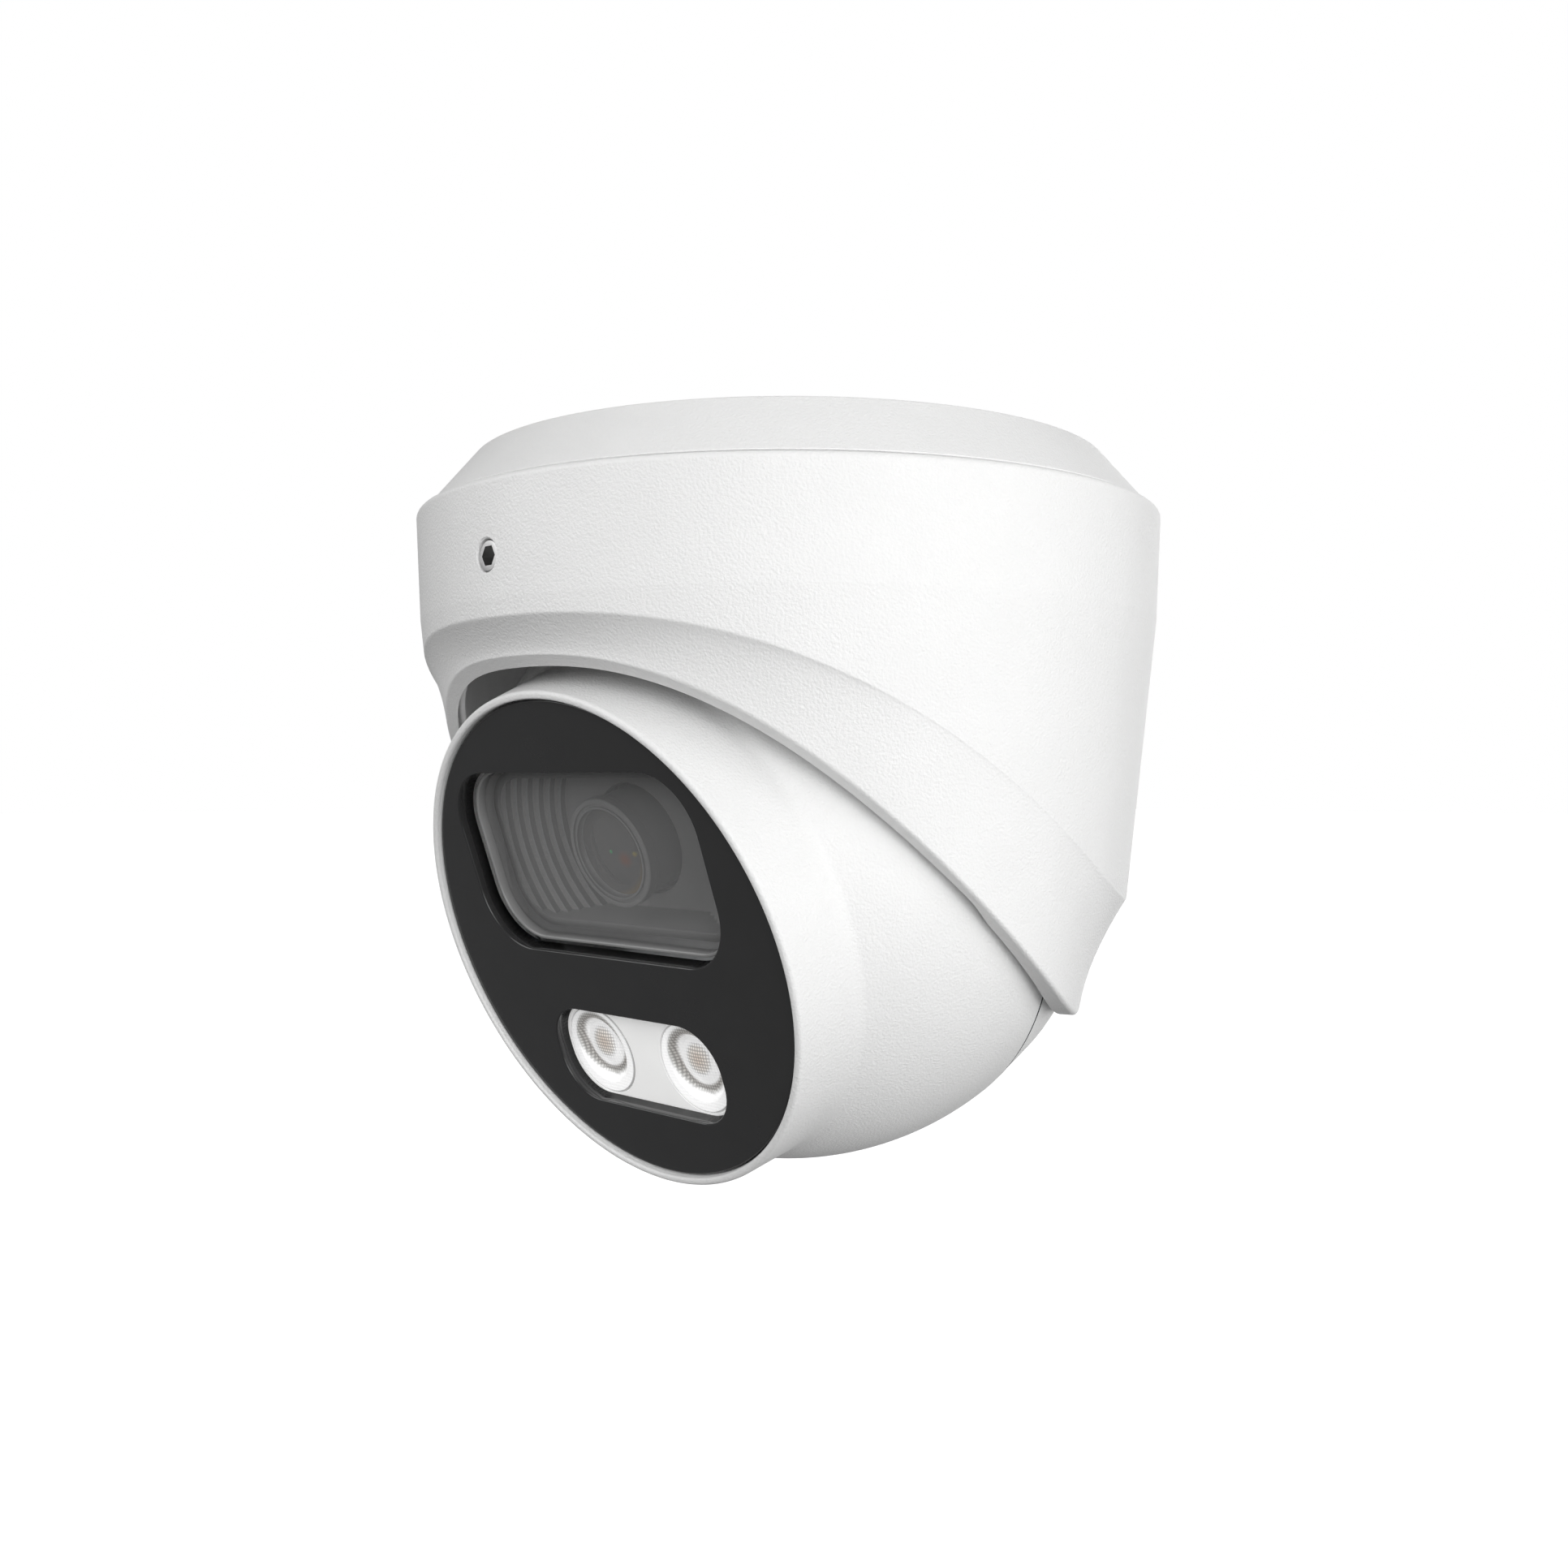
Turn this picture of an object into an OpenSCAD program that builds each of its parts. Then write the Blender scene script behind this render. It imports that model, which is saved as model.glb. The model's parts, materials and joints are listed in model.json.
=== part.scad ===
// Turret camera: a ball with a lens window and a lamp window sits in a round
// housing with a slanted lip, under a shallow mounting base.
// +Z is up, z = 0 is the ceiling face, and the face plate looks towards -Y.
// The housing pans about Z, the yoke tilts about X and the ball rolls about
// its own optical axis, so all three axes cross at the middle of the ball.

/* [Housing] */
// Outer radius of the housing under its shoulder
housing_r = 55; // [54.8:0.1:55.4]
// Depth of the housing's flat top below the ceiling face
housing_top = 8.2; // [8:0.1:8.6]
// Depth at which the wall starts to taper
taper_top = 23.6; // [23:0.1:24.5]
// Outer radius at the start of the taper
taper_r = 54.4; // [54.2:0.1:54.7]
// Radius that the taper loses in each millimetre of depth
taper_rate = 0.105; // [0.1:0.001:0.11]
// Radius of the rounded shoulder
shoulder_r = 0.9; // [0.8:0.1:1.4]

/* [Slanted lip] */
// Depth of the wall's lower edge at the front
edge_front = 26; // [25:0.5:27]
// How much deeper that edge is at the back
edge_drop = 37.6; // [35:0.2:39]
// Depth of the lip at the front
lip_front = 30.7; // [30.5:0.1:31.2]
// How much deeper the lip is at the back
lip_drop = 48.7; // [48:0.1:49.2]
// Outer radius of the lip at the front
lip_front_r = 50.9; // [50.6:0.1:51.3]
// Radius that the lip loses from front to back
lip_r_loss = 7.3; // [7:0.1:7.5]
// Slope of the lip's flat face, rise over run
lip_slope = 0.86; // [0.8:0.02:0.9]

/* [Mounting base] */
// Radius of the ceiling face
base_top_r = 46.8; // [46.5:0.1:47.2]
// Radius of the base's lower edge
base_low_r = 53.5; // [53:0.1:53.7]
// Thickness of the base's plate
base_plate_t = 4.5; // [4:0.1:5]
// Radius of the circle of mounting holes
bolt_circle_r = 37; // [34:0.5:37.5]
// Radius of each mounting hole
bolt_hole_r = 2.3; // [2.1:0.1:2.6]
// Radius of the cable's way through the grommet
cable_hole_r = 4; // [3:0.1:5]
// Outer radius of the skirt that the housing turns on
pan_skirt_r = 49.4; // [49.38:0.01:49.42]

/* [Ball] */
// Depth of the ball's centre below the ceiling face
ball_depth = 55.9; // [55.8:0.1:56]
// Radius of the ball
ball_r = 46.8; // [46.7:0.05:46.85]
// Tilt of the optical axis below the horizontal at rest
rest_tilt = 19.75; // [18:0.25:24]
// Distance of the rim's front from the ball's centre
rim_front = 39; // [38.8:0.1:39.2]
// Outer radius of the rim
rim_r = 36; // [35.9:0.05:36.1]
// Wall thickness of the ball's shells
shell_t = 2.4; // [2:0.1:2.6]

/* [Face plate] */
// Radius of the well that the face plate sits in
well_r = 34.9; // [34.8:0.05:35]
// Depth of the face plate below the rim
plate_recess = 0.7; // [0.6:0.1:0.9]
// Thickness of the face plate
plate_t = 2.6; // [2.4:0.1:2.8]
// Half the width of the lens window
window_half_w = 25.1; // [24.5:0.1:25.5]
// Height of the lens window's top edge above the plate's centre
window_top = 24.6; // [24.2:0.1:24.8]
// Height of the lens window's bottom edge
window_bottom = -2; // [-2.2:0.1:-1.8]
// Corner radius of the lens window
window_corner_r = 8.5; // [8:0.1:9]
// Distance between the two lamp optics
lamp_pitch = 20; // [19.6:0.1:20.4]
// Radius of each lamp optic
optic_r = 6.75; // [6.5:0.05:6.8]
// Height of the lamps' centre line
lamp_y = -18.15; // [-18.4:0.05:-18]

/* [Lens] */
// Height of the optical axis on the plate
lens_y = 11.1; // [10.8:0.1:11.4]
// Outer radius of the lens head
lens_head_r = 7.95; // [7.8:0.05:8]
// Depth of the lens head below the rim
lens_recess = 6; // [5.8:0.1:6.5]

/* [Hidden] */
$fn = 96;

eps = 0.01;
far = 140;

// Running and assembly clearances
run_gap = 0.04;
loose_gap = 0.15;

// Housing heights, negative downwards
ball_z = -ball_depth;
housing_bore_r = pan_skirt_r + run_gap;
cavity_low_r = 48.4;
cavity_low_z = -61.5;
socket_r = 48;
bore_step = 0.1;
socket_blend = 3;
lip_columns = 120;
// Angle from the front at which each slanted edge has reached its back level,
// and the power that sets how gently it starts
edge_reach = 120;
edge_power = 1.4;
lip_reach = 111;
lip_power = 1.26;
narrow_reach = 121;
narrow_power = 2.7;
flare_rows = 6;
cavity_rows = 4;

// Set screw, an M4 grub screw on the front centre line
screw_z = -18.2;
screw_r = 2;
screw_hole_r = 2.15;
screw_face = 54.3;
screw_tip = 49.62;
socket_hex_r = 1.42;
socket_depth = 2.2;

// Snap ring that holds the housing up on the base's skirt
snap_z = -14.2;
snap_t = 1.4;
snap_in_r = 48;
snap_out_r = 50.6;

// Yoke, a thin steel strap round the back of the ball
yoke_in_r = 47.1;
yoke_out_r = 47.9;
yoke_half_w = 4.5;
pivot_pad_r = 5.2;
pivot_r = 1.5;
hub_pad_r = 11;
hub_r = 7;

// Ball shells
inner_r = ball_r - shell_t;
seam_half = 0.15;
barrel_bore_r = 33.2;
barrel_draft = 0.117;
rear_flat = -45.6;
stub_end = -48;
stub_bore_r = 4.5;
fillet_r = 3;
rim_round = 0.6;
draft_depth = 8.1;
shell_boss_r = 40;
boss_r = 5;

// Stations along the optical axis, measured from the ball's centre
plate_front = rim_front - plate_recess;
plate_back = plate_front - plate_t;
lens_front = rim_front - lens_recess;
baffle_top = 27.2;
baffle_t = 1.4;
bracket_top = 24.4;
bracket_t = 1.8;
bracket_bottom = bracket_top - bracket_t;
board_t = 1.6;
main_board_top = 8;
sensor_board_top = 14.4;
lamp_board_top = 28.9;
lamp_recess = 2;
optic_stand = 0.15;
glass_r = 6.35;
bracket_screw_r = 34;
bracket_angles = [35, 145, 270];
standoff_xy = [[-26, -15], [26, -15], [-27, 12], [27, 12]];

function wall_r(z) = z > -taper_top
    ? housing_r + (taper_r - housing_r) * (-housing_top - z) / (taper_top - housing_top)
    : taper_r - taper_rate * (-taper_top - z);
// 0 at the front and 1 at the back, with a smooth start and end
function sweep_ease(a, reach, power) = pow(sin(90 * min(1, pow(abs(a) / reach, power))), 2);
function edge_z(a) = -edge_front - edge_drop * sweep_ease(a, edge_reach, edge_power);
function lip_z(a) = -lip_front - lip_drop * sweep_ease(a, lip_reach, lip_power);
function lip_r(a) = lip_front_r - lip_r_loss * sweep_ease(a, narrow_reach, narrow_power);
function mix(p, q, t) = p + (q - p) * t;
// Concave profile of the flare at angle a, as [radius, height]
function flare_elbow(a, top, low) =
    let (drop = top[1] - low[1], steep = 0.15, open = mix(1, 0.62, min(1, abs(a) / 120)),
        d = (top[0] - low[0] - steep * drop) / (open - steep), elbow = max(0.4, d))
    [top[0] - open * elbow, top[1] - elbow];
function flare_point(a, t) =
    let (top = [wall_r(edge_z(a)), edge_z(a)], low = [lip_r(a), lip_z(a)],
        elbow = flare_elbow(a, top, low))
    mix(mix(top, elbow, t), mix(elbow, low, t), t);
// Height of the lip's flat face at radius r
function face_z(a, r) = lip_z(a) - lip_slope * max(0, cos(a)) * (lip_r(a) - r);
// Point at angle a from the front, radius r and height z
function around(a, r, z) = [r * sin(a), -r * cos(a), z];

// Band whose cross-section changes with angle. Each section is a list of
// [radius, height] that runs down the outside and back up the inside.
module swept_band(sections, angles, closed) {
    n = len(angles);
    m = len(sections[0]);
    points = [for (i = [0:n - 1]) for (p = sections[i]) around(angles[i], p[0], p[1])];
    last = closed ? n - 1 : n - 2;
    sides = [for (i = [0:last]) for (j = [0:m - 1])
        let (i2 = (i + 1) % n, j2 = (j + 1) % m,
            p00 = i * m + j, p01 = i * m + j2, p10 = i2 * m + j, p11 = i2 * m + j2)
        each [[p00, p11, p01], [p00, p10, p11]]];
    caps = closed ? [] : [[for (j = [0:m - 1]) j], [for (j = [m - 1:-1:0]) (n - 1) * m + j]];
    polyhedron(points, concat(sides, caps));
}

// Inner radius of the housing's cavity at height z, below the pan bore
function cavity_r(z) = z > cavity_low_z
    ? mix(cavity_low_r, housing_bore_r + bore_step, (z - cavity_low_z) / (-taper_top - cavity_low_z))
    : mix(sqrt(socket_r * socket_r - pow(z - ball_z, 2)), cavity_low_r,
        max(0, (z - cavity_low_z + socket_blend) / socket_blend));
// Radius at which the lip's flat face meets the cavity, found in a few rounds
function lip_in_r(a, r, rounds) = rounds == 0 ? r : lip_in_r(a, cavity_r(face_z(a, r)), rounds - 1);

// The housing below its taper line, with the flare and the slanted lip
module lip_skirt() {
    angles = [for (i = [0:lip_columns - 1]) -180 + (i + 0.5) * 360 / lip_columns];
    join_z = -taper_top + 0.3;
    start_z = -taper_top - 0.05;
    sections = [for (a = angles)
        let (in_r = lip_in_r(a, lip_r(a) - 2, 6), in_z = face_z(a, in_r),
            turn_z = max(in_z + 0.5, cavity_low_z))
        concat([[taper_r - 0.5, join_z], [wall_r(start_z), start_z]],
            [for (k = [0:flare_rows]) flare_point(a, k / flare_rows)],
            [[in_r, in_z]],
            [for (k = [1:cavity_rows])
                let (z = mix(in_z, turn_z, k / cavity_rows)) [cavity_r(z), z]],
            [[housing_bore_r + bore_step, start_z], [housing_bore_r + 0.5, join_z]])];
    swept_band(sections, angles, true);
}

// Places its children in the ball's own axes, with Z along the optical axis
module in_ball() {
    translate([0, 0, ball_z])
        rotate([90 + rest_tilt, 0, 0])
            children();
}

module slab(z0, z1, r = far) {
    translate([0, 0, z0])
        cylinder(r = r, h = z1 - z0);
}

module rounded_rect(x0, x1, y0, y1, r) {
    translate([x0 + r, y0])
        square([x1 - x0 - 2 * r, y1 - y0]);
    translate([x0, y0 + r])
        square([x1 - x0, y1 - y0 - 2 * r]);
    for (x = [x0 + r, x1 - r], y = [y0 + r, y1 - r])
        translate([x, y])
            circle(r = r);
}

// Outline of the lens window, pulled in by inset
module window_outline(inset = 0) {
    rounded_rect(-window_half_w + inset, window_half_w - inset,
        window_bottom + inset, window_top - inset, window_corner_r - inset);
}

// Outline of the lamp window, pulled in by inset
module lamp_outline(inset = 0) {
    half_w = lamp_pitch / 2 + optic_r + 0.45 - inset;
    half_h = optic_r + 0.45 - inset;
    rounded_rect(-half_w, half_w, lamp_y - half_h, lamp_y + half_h, 6.4 - inset);
}

module prism(z0, z1) {
    translate([0, 0, z0])
        linear_extrude(height = z1 - z0)
            children();
}

module at_lamps() {
    for (s = [-1, 1])
        translate([s * lamp_pitch / 2, lamp_y, 0])
            children();
}

module at_shell_screws() {
    for (a = [90, 210, 330])
        rotate([0, 0, a])
            translate([shell_boss_r, 0, 0])
                children();
}

module at_bracket_screws() {
    for (a = bracket_angles)
        rotate([0, 0, a])
            translate([bracket_screw_r, 0, 0])
                children();
}

// Screw with its head's underside at z = 0, pointing along +Z
module small_screw(head_r, head_h, shank_r, length) {
    difference() {
        translate([0, 0, -head_h])
            cylinder(r = head_r, h = head_h);
        translate([0, 0, -head_h - eps])
            cylinder(r = head_r * 0.5, h = head_h * 0.6, $fn = 6);
    }
    translate([0, 0, -eps])
        cylinder(r = shank_r, h = length);
}

module mounting_base() {
    edge = 0.6;
    flange_z = -housing_top + 0.2;
    skirt_z = -21;
    skirt_in_r = 46.9;
    color("whitesmoke")
        difference() {
            rotate_extrude()
                polygon(concat([[0, 0]],
                    [for (k = [0:6]) [base_top_r - edge + edge * sin(15 * k), -edge + edge * cos(15 * k)]],
                    [[base_low_r, flange_z + 0.15], [base_low_r - 0.1, flange_z], [pan_skirt_r, flange_z],
                        [pan_skirt_r, skirt_z + 0.4], [pan_skirt_r - 0.4, skirt_z], [skirt_in_r, skirt_z],
                        [skirt_in_r, -base_plate_t], [0, -base_plate_t]]));
            // Groove for the gasket in the ceiling face
            difference() {
                slab(-1.2, 1, 44.6);
                slab(-2, 2, 41.4);
            }
            // Groove for the snap ring
            difference() {
                slab(snap_z - 0.1, snap_z + snap_t + 0.1, far);
                slab(snap_z - 1, snap_z + snap_t + 1, snap_in_r - 0.1);
            }
            for (a = [90, 210, 330])
                rotate([0, 0, a])
                    translate([bolt_circle_r, 0, 0])
                        slab(-10, 1, bolt_hole_r);
            slab(-10, 1, 9);
        }
}

module base_gasket() {
    color([0.16, 0.16, 0.17])
        difference() {
            slab(-1.2, 0, 44.5);
            slab(-2, 1, 41.5);
        }
}

module cable_grommet() {
    color([0.1, 0.1, 0.1])
        difference() {
            union() {
                slab(-base_plate_t, -0.2, 9);
                slab(-base_plate_t - 1.3, -base_plate_t, 11);
            }
            slab(-10, 1, cable_hole_r);
        }
}

module snap_ring() {
    color("silver")
        difference() {
            slab(snap_z, snap_z + snap_t, snap_out_r);
            slab(snap_z - 1, snap_z + snap_t + 1, snap_in_r);
            translate([-3, 0, snap_z - 1])
                cube([6, far, snap_t + 2]);
        }
}

module housing() {
    color("whitesmoke")
        difference() {
            union() {
                difference() {
                    rotate_extrude()
                        polygon(concat([[housing_bore_r, -housing_top]],
                            [for (k = [0:6])
                                [housing_r - shoulder_r + shoulder_r * sin(15 * k),
                                    -housing_top - shoulder_r + shoulder_r * cos(15 * k)]],
                            [[taper_r, -taper_top], [housing_bore_r, -taper_top]]));
                    // Groove for the snap ring
                    slab(snap_z - 0.15, snap_z + snap_t + 0.15, snap_out_r + 0.2);
                    // Threaded hole for the set screw
                    translate([0, 0, screw_z])
                        rotate([90, 0, 0])
                            cylinder(r = screw_hole_r, h = far);
                }
                lip_skirt();
            }
            // Sockets for the pivot pins
            translate([0, 0, ball_z])
                rotate([0, 90, 0])
                    cylinder(r = pivot_r, h = 100, center = true);
        }
}

// Soft sleeve inside the housing's front half, set back from the lip's flat face
module lip_liner() {
    half_angle = 72;
    steps = 48;
    setback = 1.8;
    top_z = -27;
    thick = 1.1;
    glue = 0.06;
    angles = [for (i = [0:steps]) -half_angle + i * 2 * half_angle / steps];
    sections = [for (a = angles)
        let (low = face_z(a, lip_r(a) - 2) + setback, high = max(low + 3, top_z))
        [[cavity_r(high) - glue, high], [cavity_r(low) - glue, low],
            [cavity_r(low) - thick, low], [cavity_r(high) - thick, high]]];
    color([0.45, 0.45, 0.45])
        swept_band(sections, angles, false);
}

module pivot_pins() {
    color("silver")
        translate([0, 0, ball_z])
            for (s = [0, 180])
                rotate([0, 0, s])
                    rotate([0, 90, 0])
                        translate([0, 0, ball_r + 0.22])
                            cylinder(r = pivot_r, h = 50 - ball_r - 0.22);
}

module set_screw() {
    edge = 0.12;
    color("silver")
        translate([0, 0, screw_z])
            rotate([90, 0, 0])
                difference() {
                    union() {
                        translate([0, 0, screw_tip])
                            cylinder(r1 = screw_r - 0.7, r2 = screw_r, h = 0.7);
                        translate([0, 0, screw_tip + 0.7])
                            cylinder(r = screw_r, h = screw_face - screw_tip - 0.7 - edge);
                        translate([0, 0, screw_face - edge])
                            cylinder(r1 = screw_r, r2 = screw_r - edge, h = edge);
                    }
                    translate([0, 0, screw_face - socket_depth])
                        cylinder(r = socket_hex_r, h = far, $fn = 6);
                }
}

module tilt_yoke() {
    color("silver")
        in_ball()
            difference() {
                intersection() {
                    difference() {
                        sphere(r = yoke_out_r);
                        sphere(r = yoke_in_r);
                    }
                    union() {
                        translate([-60, -yoke_half_w, -60])
                            cube([120, 2 * yoke_half_w, 60]);
                        rotate([0, 90, 0])
                            cylinder(r = pivot_pad_r, h = 120, center = true);
                        slab(-60, -30, hub_pad_r);
                    }
                }
                rotate([0, 90, 0])
                    cylinder(r = pivot_r + run_gap, h = far, center = true);
                slab(-60, -30, hub_r + run_gap);
            }
}

// Outer radius of the drafted front barrel at distance d from the ball's centre
function barrel_r(d) = rim_r + barrel_draft * (rim_front - 0.5 - d);
// Centre of the concave fillet between the ball and that barrel
fillet_d = 29.65;
fillet_x = sqrt(pow(ball_r + fillet_r, 2) - fillet_d * fillet_d);

module front_shell() {
    fillet_start = atan2(fillet_d, fillet_x) + 180;
    fillet_end = 180 + atan(barrel_draft);
    barrel_root = 27.5;
    color("whitesmoke")
        in_ball()
            difference() {
                union() {
                    intersection() {
                        sphere(r = ball_r);
                        slab(seam_half, fillet_d - 0.3);
                    }
                    rotate_extrude()
                        polygon(concat([[20, barrel_root], [barrel_r(barrel_root), barrel_root]],
                            [for (k = [0:6])
                                let (e = rim_round, a = 15 * k)
                                [rim_r - e + e * cos(a), rim_front - e + e * sin(a)]],
                            [[20, rim_front]]));
                    // Fillet where the barrel meets the ball
                    rotate_extrude()
                        polygon(concat([[35, 27]],
                            [for (k = [0:8])
                                let (a = mix(fillet_start, fillet_end, k / 8))
                                [fillet_x + fillet_r * cos(a), fillet_d + fillet_r * sin(a)]],
                            [[35, 29.5]]));
                }
                difference() {
                    sphere(r = inner_r);
                    at_shell_screws()
                        slab(0, 11, boss_r);
                    at_bracket_screws()
                        slab(bracket_top, 40, 3);
                }
                difference() {
                    slab(25, plate_back, barrel_bore_r);
                    at_bracket_screws()
                        slab(bracket_top, 32, 3);
                }
                slab(plate_back, 60, well_r);
                at_shell_screws()
                    slab(-5, 9, 1.5);
                at_bracket_screws()
                    slab(20, 30, 1.2);
            }
}

// Solid of revolution whose side follows a sphere of radius r, from d0 up to d1
module dome(r, d0, d1) {
    rows = 16;
    rotate_extrude()
        polygon(concat([[0, d1], [0, d0]],
            [for (k = [0:rows])
                let (a = mix(asin(d0 / r), asin(d1 / r), k / rows)) [r * cos(a), r * sin(a)]]));
}

module rear_shell() {
    stub_root = rear_flat + 1;
    color("whitesmoke")
        in_ball()
            difference() {
                union() {
                    dome(ball_r, rear_flat, -draft_depth);
                    translate([0, 0, -draft_depth - eps])
                        cylinder(r1 = sqrt(ball_r * ball_r - draft_depth * draft_depth) - 0.02,
                            r2 = ball_r - 0.1, h = draft_depth + eps - seam_half);
                    slab(stub_end, stub_root, hub_r);
                }
                difference() {
                    dome(inner_r, rear_flat + 2, 1);
                    at_shell_screws()
                        slab(-60, 1, boss_r);
                }
                at_shell_screws() {
                    slab(-60, -9.5, 3.1);
                    slab(-20, 1, 1.7);
                }
                slab(-60, 0, stub_bore_r);
            }
}

module seam_gasket() {
    color([0.25, 0.25, 0.26])
        in_ball()
            difference() {
                slab(-seam_half, seam_half, ball_r - 0.05);
                slab(-1, 1, inner_r + 0.2);
            }
}

module shell_screws() {
    color("silver")
        in_ball()
            at_shell_screws()
                translate([0, 0, -9.5])
                    small_screw(2.75, 1.8, 1.45, 18);
}

module cable_gland() {
    color([0.1, 0.1, 0.1])
        in_ball()
            difference() {
                union() {
                    slab(stub_end + 0.5, rear_flat + 2, stub_bore_r);
                    slab(rear_flat + 2, rear_flat + 3.5, stub_bore_r + 1.8);
                }
                slab(-60, 0, 2.6);
            }
}

module face_plate() {
    chamfer = 0.35;
    color([0.05, 0.05, 0.055])
        in_ball()
            difference() {
                rotate_extrude()
                    polygon([[0, plate_back], [well_r - 0.2, plate_back],
                        [well_r - 0.2, plate_front - chamfer], [well_r - 0.2 - chamfer, plate_front],
                        [0, plate_front]]);
                prism(plate_back - 1, plate_front + 1)
                    window_outline();
                prism(plate_back - 1, plate_front + 1)
                    lamp_outline();
            }
}

module window_gasket() {
    color([0.55, 0.55, 0.55])
        in_ball()
            difference() {
                union() {
                    prism(plate_back - 1.6, plate_back - 0.8)
                        window_outline(-1);
                    prism(plate_back - 0.8, plate_back - 0.02)
                        window_outline(0.35);
                }
                prism(plate_back - 2, plate_back + 1)
                    window_outline(1.9);
            }
}

module window_pane() {
    color([0.85, 0.9, 0.92, 0.2])
        in_ball()
            prism(plate_back - 2.6, plate_back - 1.62)
                window_outline(-0.8);
}

module lens_shroud() {
    color([0.2, 0.2, 0.2])
        in_ball()
            difference() {
                prism(baffle_top, plate_back - 2.65)
                    window_outline(1.4);
                prism(baffle_top - 1, plate_back)
                    window_outline(2.6);
            }
}

// Bowl of the lens well, stepped in circles round the lens
module baffle_plate() {
    steps = 6;
    step_r = 15.4;
    step_pitch = 1.28;
    top = lens_front - 0.1;
    floor_d = baffle_top - 0.02;
    step_rise = (top - floor_d) / steps;
    color([0.33, 0.33, 0.33])
        in_ball()
            difference() {
                union() {
                    prism(baffle_top - baffle_t, floor_d)
                        window_outline(1.4);
                    prism(floor_d - 0.5, top)
                        window_outline(2.65);
                }
                translate([0, lens_y, 0]) {
                    slab(20, 40, lens_head_r + 0.25);
                    for (k = [0:steps - 1])
                        slab(floor_d + k * step_rise, 40, step_r + k * step_pitch);
                }
            }
}

module lens_barrel() {
    thread_r = 6;
    color([0.12, 0.12, 0.12])
        in_ball()
            translate([0, lens_y, 0])
                difference() {
                    union() {
                        slab(17.4, 24.8, thread_r);
                        slab(24.8, lens_front - 1.6, lens_head_r - 0.45);
                    }
                    slab(15, 40, thread_r - 1);
                }
}

module lens_ring() {
    color([0.2, 0.2, 0.2])
        in_ball()
            translate([0, lens_y, 0])
                rotate_extrude()
                    polygon([[5, lens_front - 1.6], [lens_head_r, lens_front - 1.6],
                        [lens_head_r, lens_front - 0.25], [lens_head_r - 0.25, lens_front],
                        [glass_r + 0.4, lens_front], [glass_r + 0.05, lens_front - 0.5],
                        [glass_r + 0.05, lens_front - 1.1], [5, lens_front - 1.1]]);
}

module front_element() {
    crown_r = 11;
    color([0.25, 0.3, 0.3, 0.6])
        in_ball()
            translate([0, lens_y, 0])
                intersection() {
                    slab(lens_front - 1.08, lens_front, glass_r);
                    translate([0, 0, lens_front - 0.15 - crown_r])
                        sphere(r = crown_r);
                }
}

module rear_element() {
    color([0.25, 0.3, 0.3, 0.6])
        in_ball()
            translate([0, lens_y, 0])
                union() {
                    slab(26, 28.5, 4.95);
                    slab(18.5, 21, 4.95);
                }
}

module lens_holder() {
    half = 10;
    color([0.08, 0.08, 0.08])
        in_ball()
            translate([0, lens_y, 0])
                difference() {
                    prism(sensor_board_top, bracket_bottom - 0.1)
                        rounded_rect(-half, half, -half, half, 2);
                    slab(0, 40, 6.03);
                    translate([-7.5, -7.5, sensor_board_top - 1])
                        cube([15, 15, 3.6]);
                }
}

module image_sensor() {
    color([0.1, 0.12, 0.2])
        in_ball()
            translate([-5, lens_y - 4, sensor_board_top])
                cube([10, 8, 1.4]);
}

module sensor_board() {
    color([0.02, 0.25, 0.12])
        in_ball()
            translate([0, lens_y, 0])
                prism(sensor_board_top - 1.2, sensor_board_top)
                    rounded_rect(-15, 15, -14, 14, 2);
}

// Metal disc that carries the lens holder, the boards and the baffle
module inner_bracket() {
    color([0.7, 0.71, 0.72])
        in_ball()
            difference() {
                union() {
                    slab(bracket_bottom, bracket_top, 36.4);
                    for (x = [-13, 13])
                        translate([x, lamp_y, 0])
                            slab(bracket_top - eps, lamp_board_top - board_t, 2.4);
                    for (x = [-18, 18], y = [4, 18])
                        translate([x, y, 0])
                            slab(bracket_top - eps, baffle_top - baffle_t, 2.2);
                }
                translate([0, lens_y, 0])
                    slab(0, 40, lens_head_r + 0.3);
                at_bracket_screws()
                    slab(0, 40, 1.5);
                // Cable slots
                for (x = [-30, 30])
                    translate([x, -2, 0])
                        slab(0, 40, 3);
            }
}

module bracket_screws() {
    color("silver")
        in_ball()
            at_bracket_screws()
                translate([0, 0, bracket_bottom])
                    small_screw(2.3, 1.5, 1.18, 6.5);
}

module standoffs() {
    color("goldenrod")
        in_ball()
            for (p = standoff_xy)
                translate([p[0], p[1], main_board_top])
                    cylinder(r = 2.6, h = bracket_bottom - main_board_top, $fn = 6);
}

module main_board() {
    color([0.02, 0.3, 0.14])
        in_ball()
            difference() {
                slab(main_board_top - board_t, main_board_top, 34);
                for (p = standoff_xy)
                    translate([p[0], p[1], 0])
                        slab(0, 20, 1.3);
                translate([-8, -40, 0])
                    cube([16, 14, 20]);
            }
}

module board_chips() {
    color([0.06, 0.06, 0.06])
        in_ball()
            translate([0, 0, main_board_top]) {
                translate([-8, -9, 0])
                    cube([16, 16, 1.6]);
                translate([11, -8, 0])
                    cube([9, 12, 1.1]);
                translate([-20, -8, 0])
                    cube([9, 12, 1.1]);
                translate([-12, 20, 0])
                    cube([24, 6, 4]);
                for (x = [-17, 17])
                    translate([x, -23, 0])
                        cylinder(r = 3.2, h = 6);
            }
}

module heat_sink() {
    fin_pitch = 4;
    color([0.75, 0.76, 0.77])
        in_ball()
            difference() {
                translate([-17, -17, -6])
                    cube([34, 34, main_board_top - board_t + 6]);
                for (k = [-4:3])
                    translate([k * fin_pitch + 0.7, -20, -8])
                        cube([fin_pitch - 1.4, 40, 11]);
            }
}

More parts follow.
